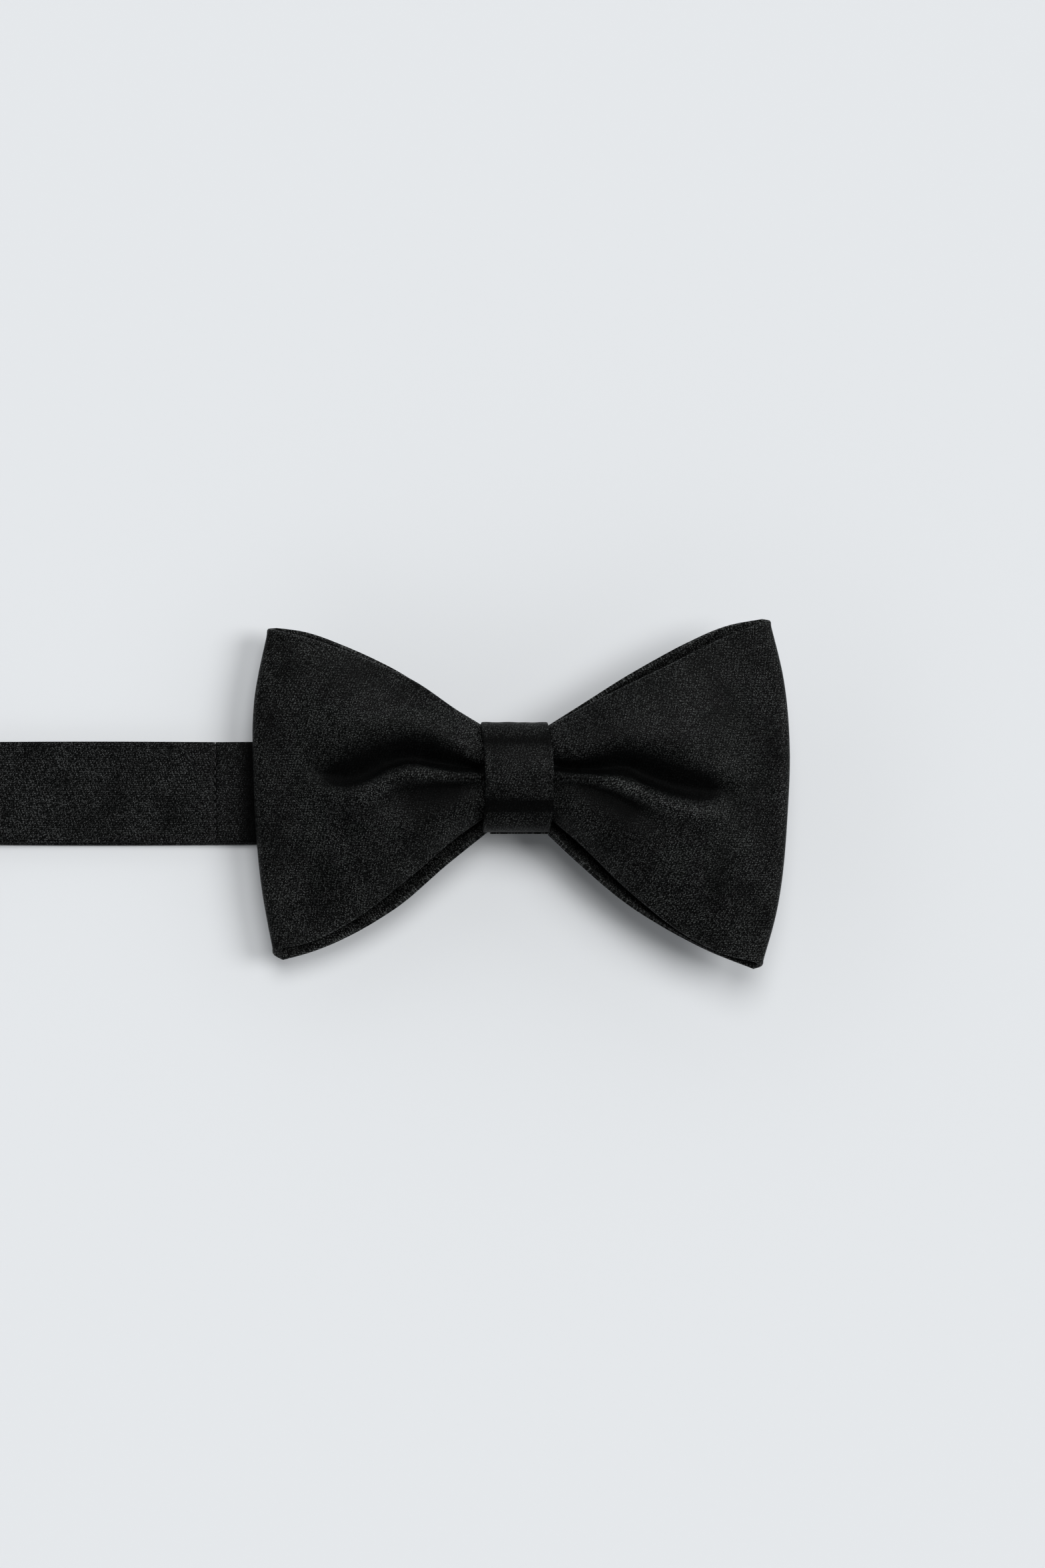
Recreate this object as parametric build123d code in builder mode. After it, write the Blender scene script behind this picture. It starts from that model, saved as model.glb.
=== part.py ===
from build123d import *
import os

# A ready-tied bow tie lying flat, face up: a folded satin bow pinched by a wrapped knot, on an
# adjustable neckband. The clasp is open, and both legs of the neckband run to the left, one on the
# other: the short leg is folded back under the right wing. X runs along the band, Y across it and
# Z up from the surface that it lies on. The origin is on that surface, under the knot's centre.

os.makedirs("parts", exist_ok=True)

# ---- neckband ----
BAND_WIDTH = 22.0
BAND_THICK = 1.0
BAND_OFFSET_Y = -2.8  # the band's middle sits a little below the knot's
SATIN = 0.25  # wall of the band's satin sleeve
INTERLINING = 0.4
INTERLINING_WIDTH = BAND_WIDTH - 1.0
SLEEVE_WIDTH = BAND_WIDTH - 2 * SATIN - 0.3
SLEEVE_THICK = BAND_THICK - 2 * SATIN

LOWER_Z = BAND_THICK / 2  # middle of the leg that lies on the surface
UPPER_Z = 1.65  # middle of the leg that lies on it
CENTRE_Z = 3.6  # middle of the band inside the knot
RETURN_Z = 1.62  # middle of the long band's doubled end
BEND = 0.9  # ordinary bend of the band's middle line

JOIN_X = -65.7  # seam between the centre band and the long band
RIGHT_JOIN_X = -10.0
FOLD_X = 30.0  # where the short leg turns back under the right wing
FOLD_Z = 5.0
JOIN_GAP = 0.2

# ---- clasp and adjuster ----
BAR_ROUND = 1.3  # wire of the eye
METAL = 1.0
INSIDE_WIDTH = 23.4  # room that the metal parts leave for the band
OUTSIDE_WIDTH = 27.0
SLIDER_X = -134.0
SLIDER_Z = 3.9
SLIDER_REACH = 8.5  # middle bar to outer bar
OUTER_BAR = 1.6
MIDDLE_BAR = 1.4
HOOK_X = -160.0
HOOK_Z = 2.95
HOOK_BAR = 1.2
TONGUE_WIDTH = 12.0
TONGUE_THICK = 0.8
TONGUE_BENDS = [1.1, 1.1, 0.9]
EYE_X = -188.0
EYE_Z = 1.85
EYE_LENGTH = 10.0

# ---- bow ----
BOW_Z = 10.5  # middle of the bow at the knot
BOW_TILT = 3.3  # the right wing rides higher than the left
FACE = 0.3
BOW_INTERLINING = 0.6
BOW_THICK = 2 * FACE + BOW_INTERLINING
WAIST_RISE = 3.6  # middle of the front layer above the middle of the bow, at the knot
WING_RISE = 5.6
WING_RISE_X = 34.0
TIP_X = 56.2
TIP_RISE = 2.6
TIP_BEND = 2.2
END_LAP = 6.0
END_DROP = BOW_THICK + 0.1  # the right end passes under the left one
WAIST_HALF = 10.0
WAIST_X = 7.7
NECK_X = 8.3

# ---- knot ----
KNOT_WIDTH = 14.8
KNOT_HALF_Y = 12.4
KNOT_LOW = 2.0
KNOT_HIGH = 16.6
KNOT_CORNER = 2.5
WRAP = 0.55
WRAP_LINING = 0.35

# ---- threads ----
THREAD = 0.3
BINDING_THREAD = 0.4
BINDING_TURNS = 5
BINDING_PITCH = 2.0

SIDE = Plane.XZ.offset(-BAND_OFFSET_Y)


def band_section(corners, radii, thickness):
    """Return a strip's side view, from the corners of its middle line."""
    with BuildSketch() as section:
        with BuildLine():
            FilletPolyline(*corners, radius=radii)
        trace(line_width=thickness)
    return section.sketch


def stitch_row(x, y, z, length, count, pitch):
    """Lay a row of thread stitches, each along X, side by side across the band."""
    with Locations((x, y, z)):
        with GridLocations(0, pitch, 1, count):
            Box(length, THREAD, THREAD)


# ---- the bow: one strip of two satins and an interlining, its ends lapped behind the knot ----
bow_side = Plane(
    origin=(0, 0, BOW_Z),
    x_dir=Vector(1, 0, 0).rotate(Axis.Y, -BOW_TILT),
    z_dir=(0, -1, 0),
)
bow_corners = [
    (END_LAP, -WAIST_RISE),
    (-10, -WAIST_RISE),
    (-WING_RISE_X, -WING_RISE),
    (-TIP_X, -TIP_RISE),
    (-TIP_X, TIP_RISE),
    (-WING_RISE_X, WING_RISE),
    (-10, WAIST_RISE),
    (10, WAIST_RISE),
    (WING_RISE_X, WING_RISE),
    (TIP_X + 1, TIP_RISE),
    (TIP_X + 1, -TIP_RISE),
    (WING_RISE_X, -WING_RISE),
    (10, -WAIST_RISE - END_DROP),
    (-END_LAP, -WAIST_RISE - END_DROP),
]
bow_bends = [20, 40, TIP_BEND, TIP_BEND, 40, 20, 20, 40, TIP_BEND, TIP_BEND, 40, 20]


def bow_layer(depth, thickness):
    """Return one layer's side view: depth is its middle, outwards from the strip's own middle."""
    with BuildSketch() as layer:
        with BuildLine():
            middle = FilletPolyline(*bow_corners, radius=bow_bends, mode=Mode.PRIVATE)
            if depth == 0:
                add(middle)
            else:
                side = Side.RIGHT if depth > 0 else Side.LEFT
                offset(middle, amount=abs(depth), side=side, closed=False, mode=Mode.ADD)
        trace(line_width=thickness)
    return layer.sketch


def wing_outline(inset):
    """Return the butterfly shape seen from above, drawn in from its edge by inset."""
    with BuildSketch() as outline:
        with BuildLine():
            ThreePointArc((-NECK_X, 12.0), (-27.0, 23.9), (-54.2, 33.2))
            ThreePointArc((-54.2, 33.2), (-57.2, 4.0), (-51.8, -39.5))
            ThreePointArc((-51.8, -39.5), (-27.0, -27.9), (-NECK_X, -12.0))
            Polyline((-NECK_X, -12.0), (-WAIST_X, -WAIST_HALF), (WAIST_X, -WAIST_HALF), (NECK_X, -12.6))
            ThreePointArc((NECK_X, -12.6), (25.0, -27.3), (51.8, -41.0))
            ThreePointArc((51.8, -41.0), (58.4, 2.0), (53.3, 35.0))
            ThreePointArc((53.3, 35.0), (25.0, 23.3), (NECK_X, 12.6))
            Polyline((NECK_X, 12.6), (WAIST_X, WAIST_HALF), (-WAIST_X, WAIST_HALF), (-NECK_X, 12.0))
        make_face()
        if inset > 0:
            offset(amount=-inset, mode=Mode.REPLACE)
    return outline.sketch


with BuildPart() as bow_outer_satin:
    with BuildSketch(bow_side):
        add(bow_layer((BOW_INTERLINING + FACE) / 2, FACE))
    extrude(amount=50, both=True)
    with BuildSketch():
        add(wing_outline(0))
    extrude(amount=30, mode=Mode.INTERSECT)

with BuildPart() as bow_interlining:
    with BuildSketch(bow_side):
        add(bow_layer(0, BOW_INTERLINING - 0.04))
    extrude(amount=50, both=True)
    with BuildSketch():
        add(wing_outline(0.6))
    extrude(amount=30, mode=Mode.INTERSECT)

with BuildPart() as bow_inner_satin:
    with BuildSketch(bow_side):
        add(bow_layer(-(BOW_INTERLINING + FACE) / 2, FACE))
    extrude(amount=50, both=True)
    with BuildSketch():
        add(wing_outline(0.3))
    extrude(amount=30, mode=Mode.INTERSECT)

# Hand stitches hold the lapped ends together, on the inner face of the back layer.
with BuildPart() as bow_end_stitches:
    lap_top = BOW_Z - WAIST_RISE + BOW_THICK / 2
    stitch_row(0, 0, lap_top + THREAD / 2 + 0.15, 3.0, 7, 2.6)

# A binding thread pinches the pleats before the knot is wrapped.
with BuildPart() as pleat_binding_thread:
    binding_high = WAIST_RISE + BOW_THICK / 2 + 0.1
    binding_low = -binding_high - END_DROP
    binding_width = 2 * WAIST_HALF + 0.2
    binding_height = binding_high - binding_low
    for turn in range(BINDING_TURNS):
        along = (turn - (BINDING_TURNS - 1) / 2) * BINDING_PITCH
        turn_plane = Plane(
            origin=bow_side.from_local_coords((along, (binding_high + binding_low) / 2, 0)),
            x_dir=(0, 1, 0),
            z_dir=bow_side.x_dir,
        )
        with BuildSketch(turn_plane):
            Rectangle(binding_width + 2 * BINDING_THREAD, binding_height + 2 * BINDING_THREAD)
            Rectangle(binding_width, binding_height, mode=Mode.SUBTRACT)
        extrude(amount=BINDING_THREAD / 2, both=True)

# ---- the knot: a satin wrap with its own interlining, closed by hand at the back ----
knot_plane = Plane(origin=(0, 0, (KNOT_LOW + KNOT_HIGH) / 2), x_dir=(0, 1, 0), z_dir=(1, 0, 0))
knot_height = KNOT_HIGH - KNOT_LOW

with BuildPart() as knot_wrap:
    with BuildSketch(knot_plane):
        RectangleRounded(2 * KNOT_HALF_Y, knot_height, KNOT_CORNER)
        offset(amount=-WRAP, mode=Mode.SUBTRACT)
    extrude(amount=KNOT_WIDTH / 2, both=True)
    fillet(knot_wrap.edges().filter_by(GeomType.LINE).group_by(Axis.Z)[-1], 0.2)

with BuildPart() as knot_interlining:
    with BuildSketch(knot_plane):
        RectangleRounded(
            2 * (KNOT_HALF_Y - WRAP - 0.02), knot_height - 2 * (WRAP + 0.02), KNOT_CORNER - WRAP - 0.02
        )
        offset(amount=-WRAP_LINING, mode=Mode.SUBTRACT)
    extrude(amount=KNOT_WIDTH / 2 - 1.0, both=True)

with BuildPart() as knot_closing_stitches:
    stitch_row(0, 0, KNOT_LOW - THREAD / 2, 2.4, 7, 2.2)

# ---- the centre band: through the knot, then round and back beneath the right wing ----
centre_route = [
    (JOIN_X + JOIN_GAP / 2, UPPER_Z),
    (-28, UPPER_Z),
    (-13, CENTRE_Z),
    (10, CENTRE_Z),
    (22, FOLD_Z),
    (FOLD_X, FOLD_Z),
    (FOLD_X, LOWER_Z),
    (RIGHT_JOIN_X + JOIN_GAP / 2, LOWER_Z),
]
fold_bend = (FOLD_Z - LOWER_Z) / 2 - 0.02
centre_bends = [20, 20, 12, 12, fold_bend, fold_bend]

# The knot gathers the band's lower edge in, so the band is notched there, through and under it.
band_low_y = BAND_OFFSET_Y - BAND_WIDTH / 2
gather_y = -KNOT_HALF_Y + WRAP + WRAP_LINING + 1.2
gather_depth = gather_y - band_low_y
gather_length = KNOT_WIDTH + 1.6
gather_height = 2 * (CENTRE_Z + BAND_THICK)

with BuildPart() as centre_band:
    with BuildSketch(SIDE):
        add(band_section(centre_route, centre_bends, BAND_THICK))
    extrude(amount=BAND_WIDTH / 2, both=True)
    with BuildSketch(SIDE):
        add(band_section(centre_route, centre_bends, SLEEVE_THICK))
    extrude(amount=SLEEVE_WIDTH / 2, both=True, mode=Mode.SUBTRACT)
    with Locations((0, gather_y - gather_depth / 2, 0)):
        Box(gather_length, gather_depth, gather_height, mode=Mode.SUBTRACT)

with BuildPart() as centre_band_interlining:
    with BuildSketch(SIDE):
        add(band_section(centre_route, centre_bends, INTERLINING))
    extrude(amount=INTERLINING_WIDTH / 2, both=True)
    with Locations((0, gather_y + 0.3 - gather_depth / 2, 0)):
        Box(gather_length + 0.6, gather_depth, gather_height, mode=Mode.SUBTRACT)

with BuildPart() as left_join_stitches:
    stitch_row(JOIN_X, BAND_OFFSET_Y, UPPER_Z + (BAND_THICK + THREAD) / 2, 1.6, 12, 1.75)

with BuildPart() as right_join_stitches:
    stitch_row(RIGHT_JOIN_X, BAND_OFFSET_Y, LOWER_Z + (BAND_THICK + THREAD) / 2, 1.6, 12, 1.75)

# ---- the long band: under the slider's outer bars and over its middle bar ----
long_start = JOIN_X - JOIN_GAP / 2
weave_z = SLIDER_Z - METAL / 2 - BAND_THICK / 2 - 0.15
over_z = SLIDER_Z + METAL / 2 + 1.5 * BAND_THICK + 0.25
sleeve_end = SLIDER_X + 16
long_end = SLIDER_X - 12
long_route = [
    (long_start, UPPER_Z),
    (SLIDER_X + 14, UPPER_Z),
    (SLIDER_X + 10.8, weave_z),
    (SLIDER_X + 7, weave_z),
    (SLIDER_X + 2.6, over_z),
    (SLIDER_X - 2.6, over_z),
    (SLIDER_X - 7, weave_z),
    (long_end, weave_z),
]

with BuildPart() as long_band:
    with BuildSketch(SIDE):
        add(band_section(long_route, BEND, BAND_THICK))
    extrude(amount=BAND_WIDTH / 2, both=True)
    with Locations(((long_start + sleeve_end) / 2, BAND_OFFSET_Y, UPPER_Z)):
        Box(long_start - sleeve_end, SLEEVE_WIDTH, SLEEVE_THICK, mode=Mode.SUBTRACT)

with BuildPart() as long_band_interlining:
    with Locations(((long_start + sleeve_end) / 2, BAND_OFFSET_Y, UPPER_Z)):
        Box(long_start - sleeve_end - 1.0, INTERLINING_WIDTH, INTERLINING)

# The rest of the same strip: round the hook's bar, back to the slider's middle bar and round that.
turn_high = 2 * HOOK_Z - RETURN_Z
turn_left = HOOK_X - 2.6
loop_low = SLIDER_Z - METAL / 2 - BAND_THICK / 2 - 0.15
loop_high = 2 * SLIDER_Z - loop_low
loop_right = SLIDER_X + 1.9
return_route = [
    (long_end - 0.1, weave_z),
    (HOOK_X + 6, weave_z),
    (HOOK_X + 2, turn_high),
    (turn_left, turn_high),
    (turn_left, RETURN_Z),
    (SLIDER_X - 7.5, RETURN_Z),
    (SLIDER_X - 3.4, loop_low),
    (loop_right, loop_low),
    (loop_right, loop_high),
    (SLIDER_X - 0.9, loop_high),
    (SLIDER_X - 3.2, loop_high - 0.9),
]
hook_turn = (turn_high - RETURN_Z) / 2 - 0.02
slider_turn = (loop_high - loop_low) / 2 - 0.02
return_bends = [BEND, BEND, hook_turn, hook_turn, BEND, BEND, slider_turn, slider_turn, BEND]

with BuildPart() as long_band_return:
    with BuildSketch(SIDE):
        add(band_section(return_route, return_bends, BAND_THICK))
    extrude(amount=BAND_WIDTH / 2, both=True)

with BuildPart() as band_end_tack:
    tack_z = loop_low - (BAND_THICK + THREAD) / 2 - 0.02
    stitch_row(SLIDER_X - 0.6, BAND_OFFSET_Y, tack_z, 2.4, 10, 1.9)

# ---- the short band: along the surface to the eye, turned round its bar and tacked ----
eye_turn_high = 2 * EYE_Z - LOWER_Z
eye_turn_left = EYE_X - 1.9
eye_tail_z = LOWER_Z + BAND_THICK + 0.05
short_start = RIGHT_JOIN_X - JOIN_GAP / 2
short_sleeve_end = EYE_X + 20
short_route = [
    (short_start, LOWER_Z),
    (eye_turn_left, LOWER_Z),
    (eye_turn_left, eye_turn_high),
    (EYE_X + 1.6, eye_turn_high),
    (EYE_X + 6, eye_tail_z),
    (EYE_X + 12, eye_tail_z),
]
eye_turn = (eye_turn_high - LOWER_Z) / 2 - 0.02

with BuildPart() as short_band:
    with BuildSketch(SIDE):
        add(band_section(short_route, [eye_turn, eye_turn, BEND, BEND], BAND_THICK))
    extrude(amount=BAND_WIDTH / 2, both=True)
    with Locations(((short_start + short_sleeve_end) / 2, BAND_OFFSET_Y, LOWER_Z)):
        Box(short_start - short_sleeve_end, SLEEVE_WIDTH, SLEEVE_THICK, mode=Mode.SUBTRACT)

with BuildPart() as short_band_interlining:
    with Locations(((short_start + short_sleeve_end) / 2, BAND_OFFSET_Y, LOWER_Z)):
        Box(short_start - short_sleeve_end - 1.0, INTERLINING_WIDTH, INTERLINING)

with BuildPart() as eye_loop_tack:
    stitch_row(EYE_X + 9.5, BAND_OFFSET_Y, eye_tail_z + (BAND_THICK + THREAD) / 2, 2.4, 10, 1.9)

# ---- metal: slider, hook and eye ----
slider_length = 2 * SLIDER_REACH + OUTER_BAR

with BuildPart() as slider:
    with BuildSketch(Plane.XY.offset(SLIDER_Z - METAL / 2)):
        with Locations((SLIDER_X, BAND_OFFSET_Y)):
            RectangleRounded(slider_length, OUTSIDE_WIDTH, 1.5)
            Rectangle(slider_length - 2 * OUTER_BAR, INSIDE_WIDTH, mode=Mode.SUBTRACT)
            Rectangle(MIDDLE_BAR, INSIDE_WIDTH + 1)
    extrude(amount=METAL)
    fillet(slider.edges().group_by(Axis.Z)[-1] + slider.edges().group_by(Axis.Z)[0], 0.25)

hook_frame_left = HOOK_X - 6
hook_slot_left = HOOK_X - 4.2
hook_bar_x = HOOK_X - 0.6
tongue_route = [
    (hook_frame_left + 0.6, HOOK_Z),
    (HOOK_X - 13, HOOK_Z),
    (HOOK_X - 13, HOOK_Z + 2.3),
    (HOOK_X - 8.2, HOOK_Z + 2.3),
    (HOOK_X - 6.8, HOOK_Z + 2.8),
]

with BuildPart() as hook:
    rail_length = hook_bar_x - hook_frame_left
    rail_width = (OUTSIDE_WIDTH - INSIDE_WIDTH) / 2
    rail_y = (OUTSIDE_WIDTH - rail_width) / 2
    with Locations((hook_frame_left + rail_length / 2, BAND_OFFSET_Y, HOOK_Z)):
        with GridLocations(0, 2 * rail_y, 1, 2):
            Box(rail_length, rail_width, METAL)
    with Locations(((hook_frame_left + hook_slot_left) / 2, BAND_OFFSET_Y, HOOK_Z)):
        Box(hook_slot_left - hook_frame_left, OUTSIDE_WIDTH, METAL)
    with Locations((hook_bar_x, BAND_OFFSET_Y, HOOK_Z)):
        Cylinder(HOOK_BAR / 2, OUTSIDE_WIDTH, rotation=(90, 0, 0))
    with BuildSketch(SIDE):
        add(band_section(tongue_route, TONGUE_BENDS, TONGUE_THICK))
    extrude(amount=TONGUE_WIDTH / 2, both=True)

eye_tilt = 6.9
eye_half = (INSIDE_WIDTH + BAR_ROUND) / 2
eye_plane = Plane(
    origin=(EYE_X, BAND_OFFSET_Y, EYE_Z),
    x_dir=Vector(-1, 0, 0).rotate(Axis.Y, -eye_tilt),
    z_dir=Vector(0, 0, 1).rotate(Axis.Y, -eye_tilt),
)

with BuildPart() as eye:
    with BuildLine(eye_plane):
        ring = FilletPolyline(
            (0, eye_half),
            (EYE_LENGTH, eye_half),
            (EYE_LENGTH, -eye_half),
            (0, -eye_half),
            radius=1.6,
            close=True,
        )
    with BuildSketch(Plane(origin=ring @ 0, z_dir=ring % 0)):
        Circle(BAR_ROUND / 2)
    sweep()

pieces = {
    "bow_outer_satin": bow_outer_satin,
    "bow_interlining": bow_interlining,
    "bow_inner_satin": bow_inner_satin,
    "bow_end_stitches": bow_end_stitches,
    "pleat_binding_thread": pleat_binding_thread,
    "knot_wrap": knot_wrap,
    "knot_interlining": knot_interlining,
    "knot_closing_stitches": knot_closing_stitches,
    "centre_band": centre_band,
    "centre_band_interlining": centre_band_interlining,
    "left_join_stitches": left_join_stitches,
    "right_join_stitches": right_join_stitches,
    "long_band": long_band,
    "long_band_interlining": long_band_interlining,
    "long_band_return": long_band_return,
    "short_band": short_band,
    "short_band_interlining": short_band_interlining,
    "band_end_tack": band_end_tack,
    "eye_loop_tack": eye_loop_tack,
    "slider": slider,
    "hook": hook,
    "eye": eye,
}
for label, piece in pieces.items():
    piece.part.label = label
    export_step(piece.part, f"parts/{label}.step")
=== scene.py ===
import math

import bpy
import numpy as np
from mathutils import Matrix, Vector, noise


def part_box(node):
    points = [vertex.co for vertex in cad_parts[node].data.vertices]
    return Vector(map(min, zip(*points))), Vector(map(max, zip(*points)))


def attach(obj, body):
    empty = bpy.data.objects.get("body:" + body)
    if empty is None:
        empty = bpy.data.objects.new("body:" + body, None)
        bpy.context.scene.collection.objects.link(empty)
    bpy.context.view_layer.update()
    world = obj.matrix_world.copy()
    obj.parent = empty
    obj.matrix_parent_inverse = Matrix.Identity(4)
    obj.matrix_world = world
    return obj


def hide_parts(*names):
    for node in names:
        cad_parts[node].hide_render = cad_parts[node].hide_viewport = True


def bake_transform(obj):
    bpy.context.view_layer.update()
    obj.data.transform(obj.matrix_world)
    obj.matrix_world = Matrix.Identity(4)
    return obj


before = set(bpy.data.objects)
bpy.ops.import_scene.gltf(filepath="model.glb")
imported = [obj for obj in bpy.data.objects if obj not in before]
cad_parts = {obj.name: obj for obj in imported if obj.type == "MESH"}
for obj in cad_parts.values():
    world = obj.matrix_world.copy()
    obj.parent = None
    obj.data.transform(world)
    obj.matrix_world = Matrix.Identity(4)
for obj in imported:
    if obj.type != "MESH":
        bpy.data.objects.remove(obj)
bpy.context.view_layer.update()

# A ready-tied bow tie in black satin, lying flat and face up. Lengths in this script are in
# millimetres until a mesh is made, and are then metres, in the CAD model's own frame: X along the
# neckband, Y across it and Z up. Each piece of cloth is a closed shell with its real thickness, laid
# over a smooth surface that is worked out from a few outline points and creases.

MM = 0.001


def box_mm(node):
    """Lowest and highest corner of a CAD node, in millimetres."""
    low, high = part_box(node)
    return np.array(low) / MM, np.array(high) / MM


# ---------------------------------------------------------------- small maths


def smooth(value, low, high):
    """0 below low, 1 above high, and an even ease in between."""
    t = np.clip((value - low) / (high - low), 0.0, 1.0)
    return t * t * (3.0 - 2.0 * t)


def curve_through(points, t):
    """Smooth curve through a few points. t runs from 0 to 1 along it, in an array of any shape."""
    p = np.asarray(points, float)
    s = np.concatenate([[0.0], np.cumsum(np.linalg.norm(np.diff(p, axis=0), axis=1))])
    s = s / s[-1]
    slope = np.gradient(p, s, axis=0)
    t = np.asarray(t, float)
    i = np.clip(np.searchsorted(s, t, side="right") - 1, 0, len(s) - 2)
    width = (s[i + 1] - s[i])[..., None]
    q = ((t - s[i]) / (s[i + 1] - s[i]))[..., None]
    start = (1 + 2 * q) * (1 - q) ** 2 * p[i] + q * (1 - q) ** 2 * width * slope[i]
    end = q * q * (3 - 2 * q) * p[i + 1] + q * q * (q - 1) * width * slope[i + 1]
    return start + end


def rounded_path(corners, radii, step):
    """Straight runs joined by arcs, as points about step apart."""
    corners = [np.array(c, float) for c in corners]
    found = [corners[0]]
    for before, corner, after, radius in zip(corners, corners[1:], corners[2:], radii):
        a = (before - corner) / np.linalg.norm(before - corner)
        b = (after - corner) / np.linalg.norm(after - corner)
        half = math.acos(np.clip(a @ b, -1, 1)) / 2
        centre = corner + (a + b) / np.linalg.norm(a + b) * radius / math.sin(half)
        start = corner + a * radius / math.tan(half)
        turn = math.pi - 2 * half
        u = (start - centre) / radius
        w = -a - u * (u @ -a)
        w = w / np.linalg.norm(w)
        for k in range(9):
            angle = turn * k / 8
            found.append(centre + radius * (u * math.cos(angle) + w * math.sin(angle)))
    found.append(corners[-1])
    path = [found[0]]
    for a, b in zip(found, found[1:]):
        count = max(1, round(np.linalg.norm(b - a) / step))
        path += [a + (b - a) * k / count for k in range(1, count + 1)]
    path = np.array(path)
    keep = np.concatenate([[True], np.linalg.norm(np.diff(path, axis=0), axis=1) > 1e-3])
    return path[keep]


def ripple(x, y, size, seed):
    """Smooth, even noise over a surface, from -1 to 1; size is the width of one wave."""
    flat = [
        noise.noise(Vector((a / size, b / size, seed)))
        for a, b in zip(np.ravel(x), np.ravel(y))
    ]
    return np.array(flat).reshape(np.shape(x))


# ---------------------------------------------------------------- meshes


def make_piece(name, points, faces, uv, material, fold=None):
    """Mesh object in metres from points in millimetres. Its faces are turned to point outwards.
    fold is kept on the mesh as painted light in the cloth's colour: a painted shade dims the floats below
    0, as in a valley, and a painted highlight brightens them above 0, as on a ridge."""
    points = np.asarray(points, float) * MM
    points[:, 2] = np.maximum(points[:, 2], 0)
    tris = np.array([(f[0], f[k], f[k + 1]) for f in faces for k in range(1, len(f) - 1)])
    a, b, c = points[tris[:, 0]], points[tris[:, 1]], points[tris[:, 2]]
    if np.einsum("ij,ij->", a, np.cross(b, c)) < 0:
        faces = [f[::-1] for f in faces]
    mesh = bpy.data.meshes.new(name)
    mesh.from_pydata(points.tolist(), [], faces)
    layer = mesh.uv_layers.new(name="cloth")
    corner = np.zeros(len(mesh.loops), np.int32)
    mesh.loops.foreach_get("vertex_index", corner)
    layer.data.foreach_set("uv", np.asarray(uv, np.float32)[corner].ravel())
    mesh.polygons.foreach_set("use_smooth", np.ones(len(mesh.polygons), bool))
    mesh.materials.append(material)
    if fold is not None:
        painted_fold_light = mesh.attributes.new("fold", "FLOAT", "POINT")
        painted_fold_light.data.foreach_set("value", np.asarray(fold, np.float32).ravel())
    piece = bpy.data.objects.new(name, mesh)
    bpy.context.scene.collection.objects.link(piece)
    return piece


def shell(name, outer, inner, uv, material, closed_v=False, fold=None):
    """Closed shell between two grids of points. closed_v joins the last column to the first."""
    nu, nv = outer.shape[:2]
    count = nu * nv
    index = np.arange(count).reshape(nu, nv)
    faces = []
    columns = nv if closed_v else nv - 1
    for i in range(nu - 1):
        for j in range(columns):
            k = (j + 1) % nv
            a, b, c, d = index[i, j], index[i + 1, j], index[i + 1, k], index[i, k]
            faces.append((int(a), int(b), int(c), int(d)))
            faces.append((int(d) + count, int(c) + count, int(b) + count, int(a) + count))
    for i, flip in ((0, False), (nu - 1, True)):
        for j in range(columns):
            k = (j + 1) % nv
            rim = (index[i, j], index[i, k], index[i, k] + count, index[i, j] + count)
            faces.append(tuple(int(n) for n in (rim[::-1] if flip else rim)))
    if not closed_v:
        for j, flip in ((0, True), (nv - 1, False)):
            for i in range(nu - 1):
                rim = (index[i, j], index[i + 1, j], index[i + 1, j] + count, index[i, j] + count)
                faces.append(tuple(int(n) for n in (rim[::-1] if flip else rim)))
    points = np.concatenate([outer.reshape(-1, 3), inner.reshape(-1, 3)])
    both = np.concatenate([uv.reshape(-1, 2), uv.reshape(-1, 2)])
    if fold is not None:
        fold = np.concatenate([fold.ravel(), fold.ravel()])
    return make_piece(name, points, faces, both, material, fold)


def normals_of(grid):
    """Unit normals of a grid of points."""
    along = np.gradient(grid, axis=0)
    across = np.gradient(grid, axis=1)
    n = np.cross(along, across)
    return n / np.maximum(np.linalg.norm(n, axis=2, keepdims=True), 1e-9)


# ---------------------------------------------------------------- materials


def node_group(name, inputs, outputs):
    """Empty shader group with named inputs and outputs."""
    group = bpy.data.node_groups.new(name, "ShaderNodeTree")
    for label, kind, value in inputs:
        socket = group.interface.new_socket(label, in_out="INPUT", socket_type=kind)
        if value is not None:
            socket.default_value = value
    for label, kind in outputs:
        group.interface.new_socket(label, in_out="OUTPUT", socket_type=kind)
    return group, group.nodes.new("NodeGroupInput"), group.nodes.new("NodeGroupOutput")


def math_node(nodes, links, operation, *values, clamp=False):
    """Math node; each value is a number or a socket. Returns its output."""
    node = nodes.new("ShaderNodeMath")
    node.operation = operation
    node.use_clamp = clamp
    for socket, value in zip(node.inputs, values):
        if isinstance(value, (int, float)):
            socket.default_value = value
        else:
            links.new(value, socket)
    return node.outputs[0]


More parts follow.
